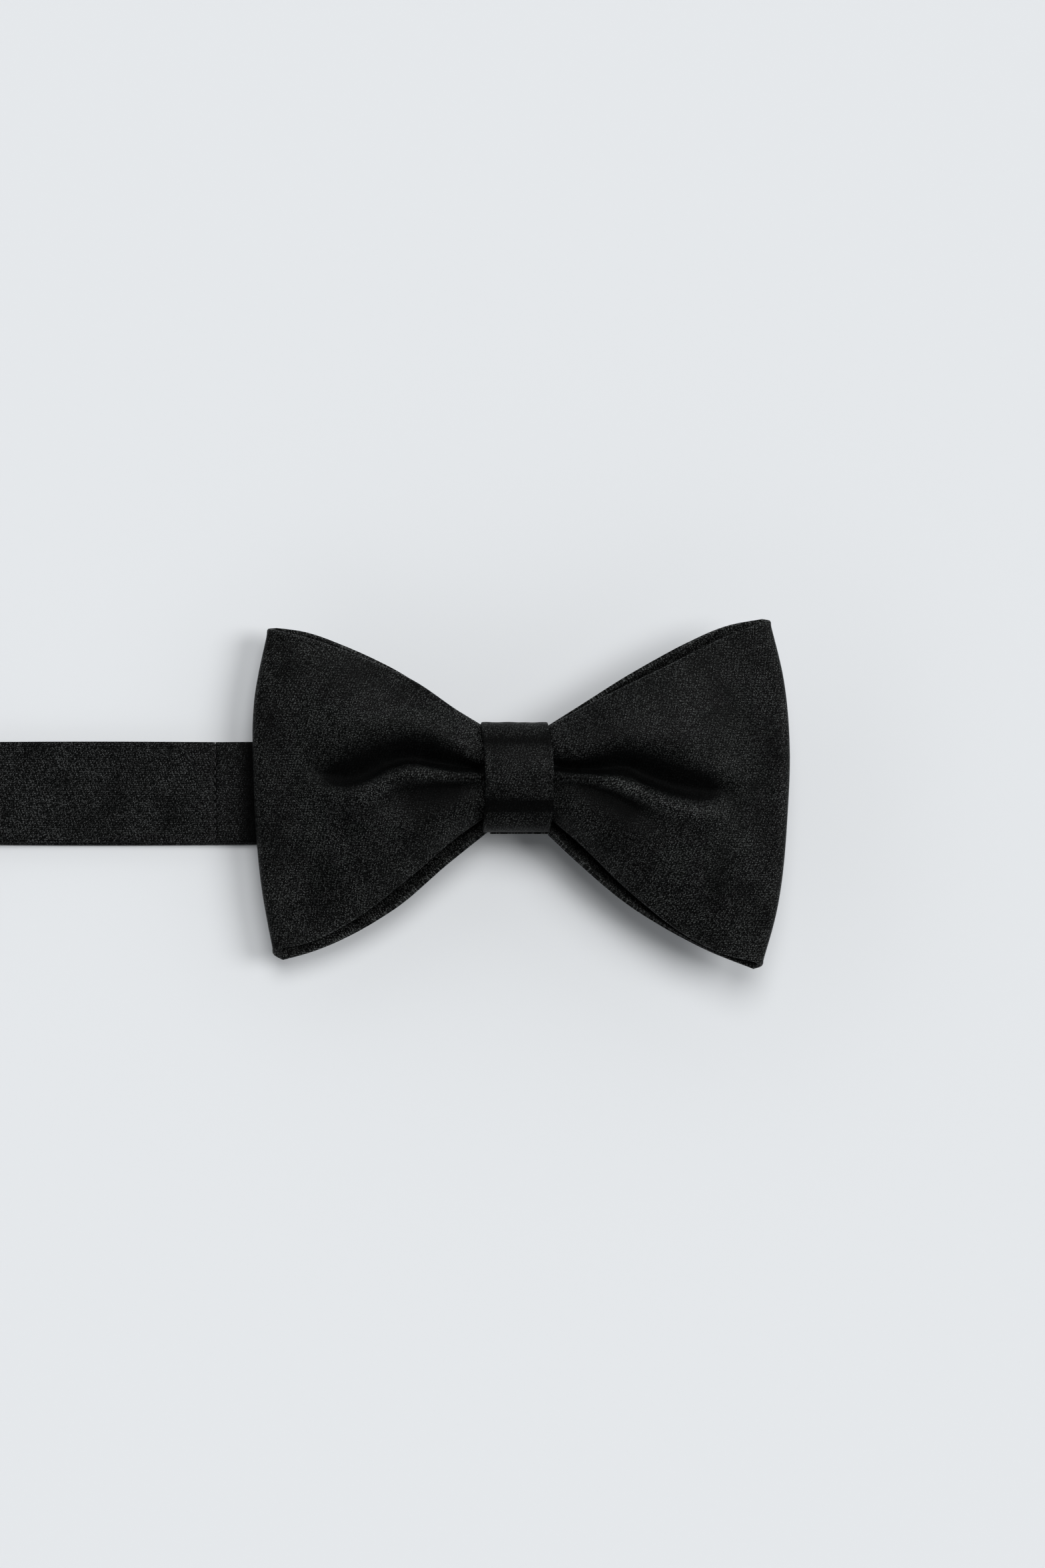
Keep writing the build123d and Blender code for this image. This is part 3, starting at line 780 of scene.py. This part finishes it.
def knot_ring(inset, count=150):
    """Closed outline of the knot, inset from its outer face."""
    ring = curve_through(KNOT_OUTLINE, np.arange(count) / count)
    along = np.roll(ring, -1, axis=0) - np.roll(ring, 1, axis=0)
    inward = np.stack([along[:, 1], -along[:, 0]], axis=1)
    inward /= np.linalg.norm(inward, axis=1, keepdims=True)
    return ring + inward * inset


def knot_dents(y):
    """Shallow creases across the front of the knot: below 0 in a dent and above 0 between them."""
    low = -0.75 * np.exp(-(((y + 5.6) / 1.5) ** 2))
    high = -0.45 * np.exp(-(((y - 8.4) / 1.5) ** 2))
    between = 0.15 * np.exp(-(((y - 3.5) / 2.5) ** 2))
    return low + high + between


def knot_shares():
    """Places across the knot, from 0 at its left edge to 1, closer together at both edges."""
    even = np.linspace(0, 1, 48)
    return even - 0.1 * np.sin(2 * math.pi * even)


def knot_grid(inset, left_in, right_in):
    """Knot surface as a grid: rows along X, columns round it."""
    ring = knot_ring(inset)
    across = knot_shares()
    y, z = ring[:, 0], ring[:, 1]
    face = smooth(z, 8.0, 14.0)
    left = np.interp(y, *KNOT_LEFT) + left_in
    right = np.interp(y, *KNOT_RIGHT) - right_in
    grid = np.zeros((len(across), len(ring), 3))
    grid[..., 0] = left[None, :] + (right - left)[None, :] * across[:, None]
    grid[..., 1] = y[None, :]
    grid[..., 2] = z[None, :]
    edge = np.minimum(across, 1 - across)[:, None] * KNOT_WIDTH
    hem = 0.14 * (1 - smooth(edge, 0.85, 1.15))
    slack = 0.14 * ripple(grid[..., 0], grid[..., 1], 5.0, 2.2)
    sag = -0.25 * smooth(np.abs(grid[..., 0]), 4.5, 7.4)
    grid[..., 2] += face[None, :] * (hem + slack + sag + 0.35 * knot_dents(y))
    grid[..., 1] += 0.16 * ripple(grid[..., 0], 0 * grid[..., 1], 2.6, 5.5) * smooth(y, 8, 12)[None, :]
    return grid


wrap_outer = knot_grid(0.0, 0.0, 0.0)
wrap_inner = knot_grid(WRAP, 0.05, 0.05)
wrap_edge = np.minimum(knot_shares(), 1 - knot_shares()) * KNOT_WIDTH
rounding = np.sqrt(np.clip(1 - (1 - np.clip(wrap_edge / 0.4, 0, 1)) ** 2, 0, 1))
turned = (0.42 * (1 - rounding))[:, None, None]
knot_low, knot_high = box_mm("knot_wrap")
knot_middle = np.array([0.0, 0.0, (knot_low[2] + knot_high[2]) / 2])
pull = (knot_middle - wrap_outer) * np.array([0, 1, 1])
pull /= np.maximum(np.linalg.norm(pull, axis=2, keepdims=True), 1e-9)
wrap_outer = wrap_outer + pull * turned
ring_steps = np.linalg.norm(np.diff(wrap_outer[len(wrap_outer) // 2], axis=0), axis=1)
ring_along = np.concatenate([[0.0], np.cumsum(ring_steps)])
wrap_uv = np.zeros((*wrap_outer.shape[:2], 2))
wrap_uv[..., 0] = wrap_outer[..., 0] + 300  # its own part of the weave
wrap_uv[..., 1] = ring_along[None, :]
# painted shade: the knot's dents are painted darker, less so between them, and the whole knot's floats a
# little dimmer
wrap_painted_light = knot_dents(wrap_outer[..., 1]) * smooth(wrap_outer[..., 2], 12.0, 14.5) - 0.15
knot = shell("knot_wrap_cloth", wrap_outer, wrap_inner, wrap_uv, satin, closed_v=True, fold=wrap_painted_light)
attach(knot, "bow_and_band")
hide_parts("knot_wrap")

core_outer = knot_grid(WRAP + 0.04, 0.9, 0.9)
core_inner = knot_grid(WRAP + 0.4, 0.9, 0.9)
knot_core = shell("knot_interlining_cloth", core_outer, core_inner, wrap_uv, felt, closed_v=True)
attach(knot_core, "bow_and_band")
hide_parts("knot_interlining")

# ---------------------------------------------------------------- the neckband

centre_low, centre_high = box_mm("centre_band")
long_low, long_high = box_mm("long_band")
short_low, short_high = box_mm("short_band")
slider_low, slider_high = box_mm("slider")
BAND_THICK = 1.0
BAND_Y = (centre_low[1] + centre_high[1]) / 2
BAND_HALF = (centre_high[1] - centre_low[1]) / 2
LOWER_Z = short_low[2] + BAND_THICK / 2
UPPER_Z = long_low[2] + BAND_THICK / 2
JOIN_X = (centre_low[0] + long_high[0]) / 2
FOLD_X = centre_high[0] - BAND_THICK / 2
FOLD_Z = centre_high[2] - BAND_THICK / 2
CENTRE_Z = 3.6
SLEEVE_WALL = 0.25
SLEEVE_SIDE = 0.28
CORE_HALF = 10.4
BEND = 0.9  # ordinary bend of the band's middle line
PATH_STEP = 1.2
SEAM_PITCH = 1.75
METAL = 1.0
BAR_GAP = 0.15
GATHER_Y = -10.3  # the knot draws the band's lower edge in to here
SHORT_SHIFT = -0.35  # the lower leg shows a little on the -Y side
SHORT_START = short_high[0]
SLIDER_X = (slider_low[0] + slider_high[0]) / 2
SLIDER_Z = (slider_low[2] + slider_high[2]) / 2
HOOK_X = box_mm("hook")[1][0]
EYE_WIRE = 1.3
EYE_X = box_mm("eye")[1][0] - EYE_WIRE / 2


def band_section(half, thick, wobble):
    """Outline of the band's cross-section: place across it and height, once round."""
    radius = thick * 0.46
    top = np.linspace(-(half - radius), half - radius, 34)
    arc = np.linspace(0, math.pi, 9)[1:-1]
    flat = thick / 2 * (1 + wobble * np.cos(top * 2.2))
    up = np.stack([top, flat], axis=1)
    right = np.stack([half - radius + radius * np.sin(arc), thick / 2 * np.cos(arc)], axis=1)
    down = np.stack([top[::-1], -thick / 2 + 0 * top], axis=1)
    left = np.stack([-(half - radius) - radius * np.sin(arc), -thick / 2 * np.cos(arc)], axis=1)
    return np.concatenate([up, right, down, left])


def band_grid(path, section, shift=0.0, ends=(0.0, 0.0), sway=0.12, gathered=False):
    """Sweep a section along a path in the XZ plane. ends thins the band towards its seamed ends, and
    gathered narrows it inside the knot."""
    along = np.concatenate([[0.0], np.cumsum(np.linalg.norm(np.diff(path, axis=0), axis=1))])
    tangent = np.gradient(path, axis=0)
    tangent /= np.linalg.norm(tangent, axis=1, keepdims=True)
    normal = np.stack([-tangent[:, 1], tangent[:, 0]], axis=1)
    if normal[0, 1] < 0:
        normal = -normal
    thin = np.ones(len(path))
    if ends[0]:
        thin *= 1 - ends[0] * (1 - smooth(along, 0.0, 0.7))
    if ends[1]:
        thin *= 1 - ends[1] * (1 - smooth(along[-1] - along, 0.0, 0.7))
    depth = section[None, :, 1] * thin[:, None]
    y = BAND_Y + shift + section[None, :, 0] + sway * np.sin(along / 17.0)[:, None]
    if gathered:
        top = BAND_Y + BAND_HALF
        lower_layer = (path[:, 1] < 2.0) & (path[:, 0] < 0) & (path[:, 0] > SHORT_START - 1)
        wide = smooth(np.abs(path[:, 0]), 8.4, 14.0)
        share = np.where(lower_layer, smooth(np.abs(path[:, 0]), 7.4, 9.8), wide)[:, None]
        y = top - (top - y) * (share + (1 - share) * (top - GATHER_Y) / (2 * BAND_HALF))
    grid = np.zeros((len(path), len(section), 3))
    grid[..., 0] = path[:, :1] + normal[:, :1] * depth
    grid[..., 1] = y
    grid[..., 2] = path[:, 1:] + normal[:, 1:] * depth
    return grid, along


def band_piece(
    name, corners, radii, material, shift=0.0, ends=(0.0, 0.0), pucker=None, gathered=False, shaded=None
):
    """Length of neckband as a hollow satin sleeve. pucker is the X of a seam that draws the cloth up a
    little, and shaded the X from which a painted shade of the bow dims the floats, close beside the bow and
    under it."""
    path = rounded_path(corners, radii, PATH_STEP)
    section = band_section(BAND_HALF, BAND_THICK, 0.03)
    grid, along = band_grid(path, section, shift, ends, gathered=gathered)
    core = band_section(BAND_HALF - SLEEVE_SIDE, BAND_THICK - 2 * SLEEVE_WALL, 0.0)
    inner, along = band_grid(path, core, shift, ends, gathered=gathered)
    if pucker is not None:
        near = np.exp(-np.abs(grid[..., 0] - pucker) / 2.2)
        wave = 0.07 * near * np.cos((grid[..., 1] - BAND_Y) * 2 * math.pi / SEAM_PITCH)
        grid[..., 2] += wave
        inner[..., 2] += wave
    uv = np.zeros((*grid.shape[:2], 2))
    uv[..., 0] = along[:, None] + len(name) * 37  # each sleeve shows its own part of the weave
    uv[..., 1] = section[None, :, 0]
    fold = None
    # painted shade of the bow on the band
    if shaded is not None:
        fold = -0.6 * smooth(grid[..., 0], shaded, shaded + 2.5)
    return shell(name, grid, inner, uv, material, closed_v=True, fold=fold), along[-1]


def band_core(name, corners, radii, shift=0.0, ends=(0.0, 0.0), gathered=False):
    """Interlining strip on the same path as a sleeve, inside it."""
    path = rounded_path(corners, radii, PATH_STEP)[1:-1]
    y = np.linspace(-CORE_HALF, CORE_HALF, 24)
    top_face = np.stack([y, 0 * y + CORE_DEPTH], axis=1)
    bottom_face = np.stack([y, 0 * y - CORE_DEPTH], axis=1)
    upper, along = band_grid(path, top_face, shift, ends, gathered=gathered)
    lower, along = band_grid(path, bottom_face, shift, ends, gathered=gathered)
    uv = np.stack(np.broadcast_arrays(along[:, None], y[None, :]), axis=2)
    return shell(name, upper, lower, uv, felt), along[-1]


def finish_band(piece, node, body=None):
    """Attach a neckband piece to its body, if one is given, and hide its CAD node."""
    if body:
        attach(piece, body)
    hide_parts(node)


centre_corners = [
    (JOIN_X + 0.06, UPPER_Z),
    (-28, UPPER_Z),
    (-13, CENTRE_Z),
    (10, CENTRE_Z),
    (22, FOLD_Z),
    (FOLD_X, FOLD_Z),
    (FOLD_X, LOWER_Z),
    (SHORT_START + 0.1, LOWER_Z),
]
TURN_SLACK = 0.02  # a full turn is two quarter bends with this much straight between them
fold_bend = (FOLD_Z - LOWER_Z) / 2 - TURN_SLACK
centre_bends = [20, 20, 12, 12, fold_bend, fold_bend]
centre, centre_length = band_piece(
    "centre_band_sleeve", centre_corners, centre_bends, band_satin,
    ends=(0.3, 0.3), pucker=JOIN_X, gathered=True, shaded=JOIN_X + 4.5,
)
finish_band(centre, "centre_band", "bow_and_band")
centre_core, core_length = band_core(
    "centre_band_interlining_strip", centre_corners, centre_bends, ends=(0.3, 0.3), gathered=True
)
finish_band(
    centre_core, "centre_band_interlining",
    "bow_and_band",
)

weave_z = SLIDER_Z - METAL / 2 - BAND_THICK / 2 - BAR_GAP  # under the slider's bars
over_z = SLIDER_Z + METAL / 2 + 1.5 * BAND_THICK + 0.25  # over the loop on its middle bar
long_corners = [
    (JOIN_X - 0.06, UPPER_Z),
    (SLIDER_X + 14, UPPER_Z),
    (SLIDER_X + 10.8, weave_z),
    (SLIDER_X + 7, weave_z),
    (SLIDER_X + 2.6, over_z),
    (SLIDER_X, over_z),
]
long_piece, long_length = band_piece(
    "long_band_sleeve", long_corners, [BEND] * 4, band_satin, ends=(0.3, 0.0), pucker=JOIN_X
)
finish_band(long_piece, "long_band")
long_core, core_length = band_core("long_band_interlining_strip", long_corners, [BEND] * 4, ends=(0.3, 0.0))
finish_band(
    long_core, "long_band_interlining"
)
for piece in (long_piece, long_core):
    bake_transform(piece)

RETURN_Z = 1.62
HOOK_Z = 2.95
turn_high = 2 * HOOK_Z - RETURN_Z
turn_left = HOOK_X - 2.6
loop_low = weave_z
loop_high = 2 * SLIDER_Z - loop_low
loop_right = SLIDER_X + 1.9
return_corners = [
    (SLIDER_X - 0.02, over_z),
    (SLIDER_X - 2.6, over_z),
    (SLIDER_X - 7, weave_z),
    (HOOK_X + 6, weave_z),
    (HOOK_X + 2, turn_high),
    (turn_left, turn_high),
    (turn_left, RETURN_Z),
    (SLIDER_X - 7.5, RETURN_Z),
    (SLIDER_X - 3.4, loop_low),
    (loop_right, loop_low),
    (loop_right, loop_high),
    (SLIDER_X - 0.9, loop_high),
    (SLIDER_X - 3.2, loop_high - 0.9),
]
hook_turn = (turn_high - RETURN_Z) / 2 - TURN_SLACK
slider_turn = (loop_high - loop_low) / 2 - TURN_SLACK
return_bends = [BEND] * 4 + [hook_turn] * 2 + [BEND] * 2 + [slider_turn] * 2 + [BEND]
return_piece, return_length = band_piece(
    "long_band_return_strip", return_corners, return_bends, band_satin
)
finish_band(
    return_piece, "long_band_return"
)
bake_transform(return_piece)

EYE_Z = 1.85
eye_turn_high = 2 * EYE_Z - LOWER_Z
eye_turn_left = EYE_X - 1.9
eye_tail_z = LOWER_Z + BAND_THICK + 0.05
short_corners = [
    (SHORT_START - 0.06, LOWER_Z),
    (eye_turn_left, LOWER_Z),
    (eye_turn_left, eye_turn_high),
    (EYE_X + 1.6, eye_turn_high),
    (EYE_X + 6, eye_tail_z),
    (EYE_X + 12, eye_tail_z),
]
eye_turn = (eye_turn_high - LOWER_Z) / 2 - TURN_SLACK
short_bends = [eye_turn, eye_turn, BEND, BEND]
short_piece, short_length = band_piece(
    "short_band_sleeve", short_corners, short_bends, band_satin,
    shift=SHORT_SHIFT, ends=(0.3, 0.0), pucker=SHORT_START,
)
finish_band(short_piece, "short_band", "bow_and_band")
short_core, core_length = band_core(
    "short_band_interlining_strip", short_corners, short_bends, shift=SHORT_SHIFT, ends=(0.3, 0.0)
)
finish_band(
    short_core, "short_band_interlining",
    "bow_and_band",
)

# ---------------------------------------------------------------- stitches


def stitch_run_group():
    """Row of short thread stitches: each one is a long bead, turned a little at random."""
    tree = bpy.data.node_groups.new("stitch_run", "GeometryNodeTree")
    sockets = {}
    for label, kind in (
        ("Start", "NodeSocketVector"), ("Step", "NodeSocketVector"), ("Count", "NodeSocketInt"),
        ("Stitch Size", "NodeSocketVector"), ("Unevenness", "NodeSocketFloat"),
        ("Thread", "NodeSocketMaterial"),
    ):
        sockets[label] = tree.interface.new_socket(label, in_out="INPUT", socket_type=kind).identifier
    tree.interface.new_socket("Geometry", in_out="OUTPUT", socket_type="NodeSocketGeometry")
    nodes, links = tree.nodes, tree.links
    given, result = nodes.new("NodeGroupInput"), nodes.new("NodeGroupOutput")
    row = nodes.new("GeometryNodeMeshLine")
    row.mode = "OFFSET"
    links.new(given.outputs["Count"], row.inputs["Count"])
    links.new(given.outputs["Start"], row.inputs["Start Location"])
    links.new(given.outputs["Step"], row.inputs["Offset"])
    bead = nodes.new("GeometryNodeMeshUVSphere")
    bead.inputs["Segments"].default_value = 12
    bead.inputs["Rings"].default_value = 8
    bead.inputs["Radius"].default_value = 0.5
    drift = nodes.new("FunctionNodeRandomValue")
    drift.data_type = "FLOAT_VECTOR"
    drift.inputs["Min"].default_value = (-0.2, -0.2, -0.25)
    drift.inputs["Max"].default_value = (0.2, 0.2, 0.25)
    drift.inputs["Seed"].default_value = 4
    turn = nodes.new("ShaderNodeVectorMath")
    turn.operation = "SCALE"
    links.new(drift.outputs[0], turn.inputs[0])
    links.new(given.outputs["Unevenness"], turn.inputs["Scale"])
    placed = nodes.new("GeometryNodeInstanceOnPoints")
    links.new(row.outputs["Mesh"], placed.inputs["Points"])
    links.new(bead.outputs["Mesh"], placed.inputs["Instance"])
    links.new(turn.outputs[0], placed.inputs["Rotation"])
    links.new(given.outputs["Stitch Size"], placed.inputs["Scale"])
    real = nodes.new("GeometryNodeRealizeInstances")
    links.new(placed.outputs["Instances"], real.inputs[0])
    finish = nodes.new("GeometryNodeSetMaterial")
    links.new(real.outputs[0], finish.inputs["Geometry"])
    links.new(given.outputs["Thread"], finish.inputs["Material"])
    links.new(finish.outputs[0], result.inputs["Geometry"])
    return tree, sockets


STITCH_RUN, STITCH_SOCKETS = stitch_run_group()


def stitch_run(name, node, start, step, count, size, body, unevenness=1.0):
    """Row of stitches in place of a CAD row. Places and sizes are in millimetres."""
    host = bpy.data.objects.new(name + "_host", bpy.data.meshes.new(name + "_host"))
    bpy.context.scene.collection.objects.link(host)
    run = host.modifiers.new("stitches", "NODES")
    run.node_group = STITCH_RUN
    values = {
        "Start": Vector(start) * MM, "Step": Vector(step) * MM, "Count": count,
        "Stitch Size": Vector(size) * MM, "Unevenness": unevenness, "Thread": thread,
    }
    for label, value in values.items():
        run[STITCH_SOCKETS[label]] = value
    evaluated = host.evaluated_get(bpy.context.evaluated_depsgraph_get())
    mesh = bpy.data.meshes.new_from_object(evaluated)
    mesh.polygons.foreach_set("use_smooth", np.ones(len(mesh.polygons), bool))
    bpy.data.objects.remove(host)
    row = bpy.data.objects.new(name, mesh)
    bpy.context.scene.collection.objects.link(row)
    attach(row, body)
    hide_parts(node)
    return row


def row_of(node, pitch, count):
    """Start and step of a row of stitches across the band, centred on a CAD row."""
    low, high = box_mm(node)
    middle = (low + high) / 2
    return [middle[0], middle[1] - pitch * (count - 1) / 2, middle[2]], (0, pitch, 0)


SEAM_STITCH = (0.34, 1.15, 0.36)
TACK_STITCH = (2.4, 0.36, 0.3)
BACK_STITCH = (3.0, 0.36, 0.3)
ON_TOP = 0.33  # a seam's stitches lie half sunk in the band's upper face

# Rows of stitches: piece, the CAD row it replaces, its body, pitch, count, size of one stitch, and the
# height of the row where it isn't the CAD row's own.
STITCH_ROWS = [
    ("left_join", "left_join_stitches", "bow_and_band", SEAM_PITCH, 12, SEAM_STITCH, UPPER_Z + ON_TOP),
    ("right_join", "right_join_stitches", "bow_and_band", SEAM_PITCH, 12, SEAM_STITCH, LOWER_Z + ON_TOP),
    ("band_end", "band_end_tack", "adjuster", 1.9, 10, TACK_STITCH, None),
    ("eye_loop", "eye_loop_tack", "bow_and_band", 1.9, 10, TACK_STITCH, None),
    ("knot_closing", "knot_closing_stitches", "bow_and_band", 2.2, 7, TACK_STITCH, None),
    ("bow_end", "bow_end_stitches", "bow_and_band", 2.6, 7, BACK_STITCH, None),
]
for label, node, body, pitch, count, size, height in STITCH_ROWS:
    start, step = row_of(node, pitch, count)
    if height is not None:
        start[2] = height
    stitch_run(label + "_thread", node, start, step, count, size, body)

# ---------------------------------------------------------------- floor, lights and camera

bpy.ops.mesh.primitive_plane_add(size=6.0, location=(0, 0, 0))
floor = bpy.context.object
floor.name = "floor"
paper = bpy.data.materials.new("pale_floor")
paper.use_nodes = True
paper_shader = paper.node_tree.nodes["Principled BSDF"]
paper_shader.inputs["Base Color"].default_value = (0.80, 0.82, 0.84, 1)
paper_shader.inputs["Roughness"].default_value = 0.9
paper_shader.inputs["Specular IOR Level"].default_value = 0.1
floor.data.materials.append(paper)

# The sky is bright near the horizon and dark overhead, as in a tent with an opening at its top, so that
# the black cloth stays black seen from above.
world = bpy.data.worlds.new("studio")
bpy.context.scene.world = world
world.use_nodes = True
sky_nodes, sky_links = world.node_tree.nodes, world.node_tree.links
background = sky_nodes["Background"]
direction = sky_nodes.new("ShaderNodeTexCoord")
split = sky_nodes.new("ShaderNodeSeparateXYZ")
sky_links.new(direction.outputs["Generated"], split.inputs[0])
ramp = sky_nodes.new("ShaderNodeMapRange")
ramp.interpolation_type = "SMOOTHSTEP"
ramp.inputs["From Min"].default_value = 0.3
ramp.inputs["From Max"].default_value = 0.62
ramp.inputs["To Min"].default_value = 1.15
ramp.inputs["To Max"].default_value = 0.03
sky_links.new(split.outputs["Z"], ramp.inputs["Value"])
north = math_node(sky_nodes, sky_links, "MULTIPLY_ADD", split.outputs["Y"], 0.2, 1.0)
strength = math_node(sky_nodes, sky_links, "MULTIPLY", ramp.outputs["Result"], north)
sky_links.new(strength, background.inputs["Strength"])
background.inputs["Color"].default_value = (0.98, 1.0, 1.02, 1)


def soft_sun(name, azimuth, elevation, energy, spread):
    """Distant soft light. azimuth runs from +X towards +Y; all three angles are in degrees."""
    flat, up = math.radians(azimuth), math.radians(elevation)
    toward = Vector((math.cos(up) * math.cos(flat), math.cos(up) * math.sin(flat), math.sin(up)))
    data = bpy.data.lights.new(name, "SUN")
    data.energy = energy
    data.angle = math.radians(spread)
    sun = bpy.data.objects.new(name, data)
    sun.rotation_euler = toward.to_track_quat("Z", "Y").to_euler()
    bpy.context.scene.collection.objects.link(sun)


soft_sun("window", 10, 45, 1.4, 28)
soft_sun("softbox", 80, 62, 1.42, 34)

VIEW_HEIGHT = 0.338  # height of the picture at the object
VIEW_LEVEL = 0.008  # height of the object's visible face
camera_data = bpy.data.cameras.new("camera")
camera_data.lens = 100
camera_data.sensor_width = 36
camera_data.clip_end = 20
camera = bpy.data.objects.new("camera", camera_data)
distance = VIEW_HEIGHT * camera_data.lens / camera_data.sensor_width
camera.location = (0.0010, -0.0009, VIEW_LEVEL + distance)
bpy.context.scene.collection.objects.link(camera)
bpy.context.scene.camera = camera
bpy.context.scene.view_settings.view_transform = "Standard"

for node in ("slider", "hook", "eye"):
    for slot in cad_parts[node].material_slots:
        slot.material = metal
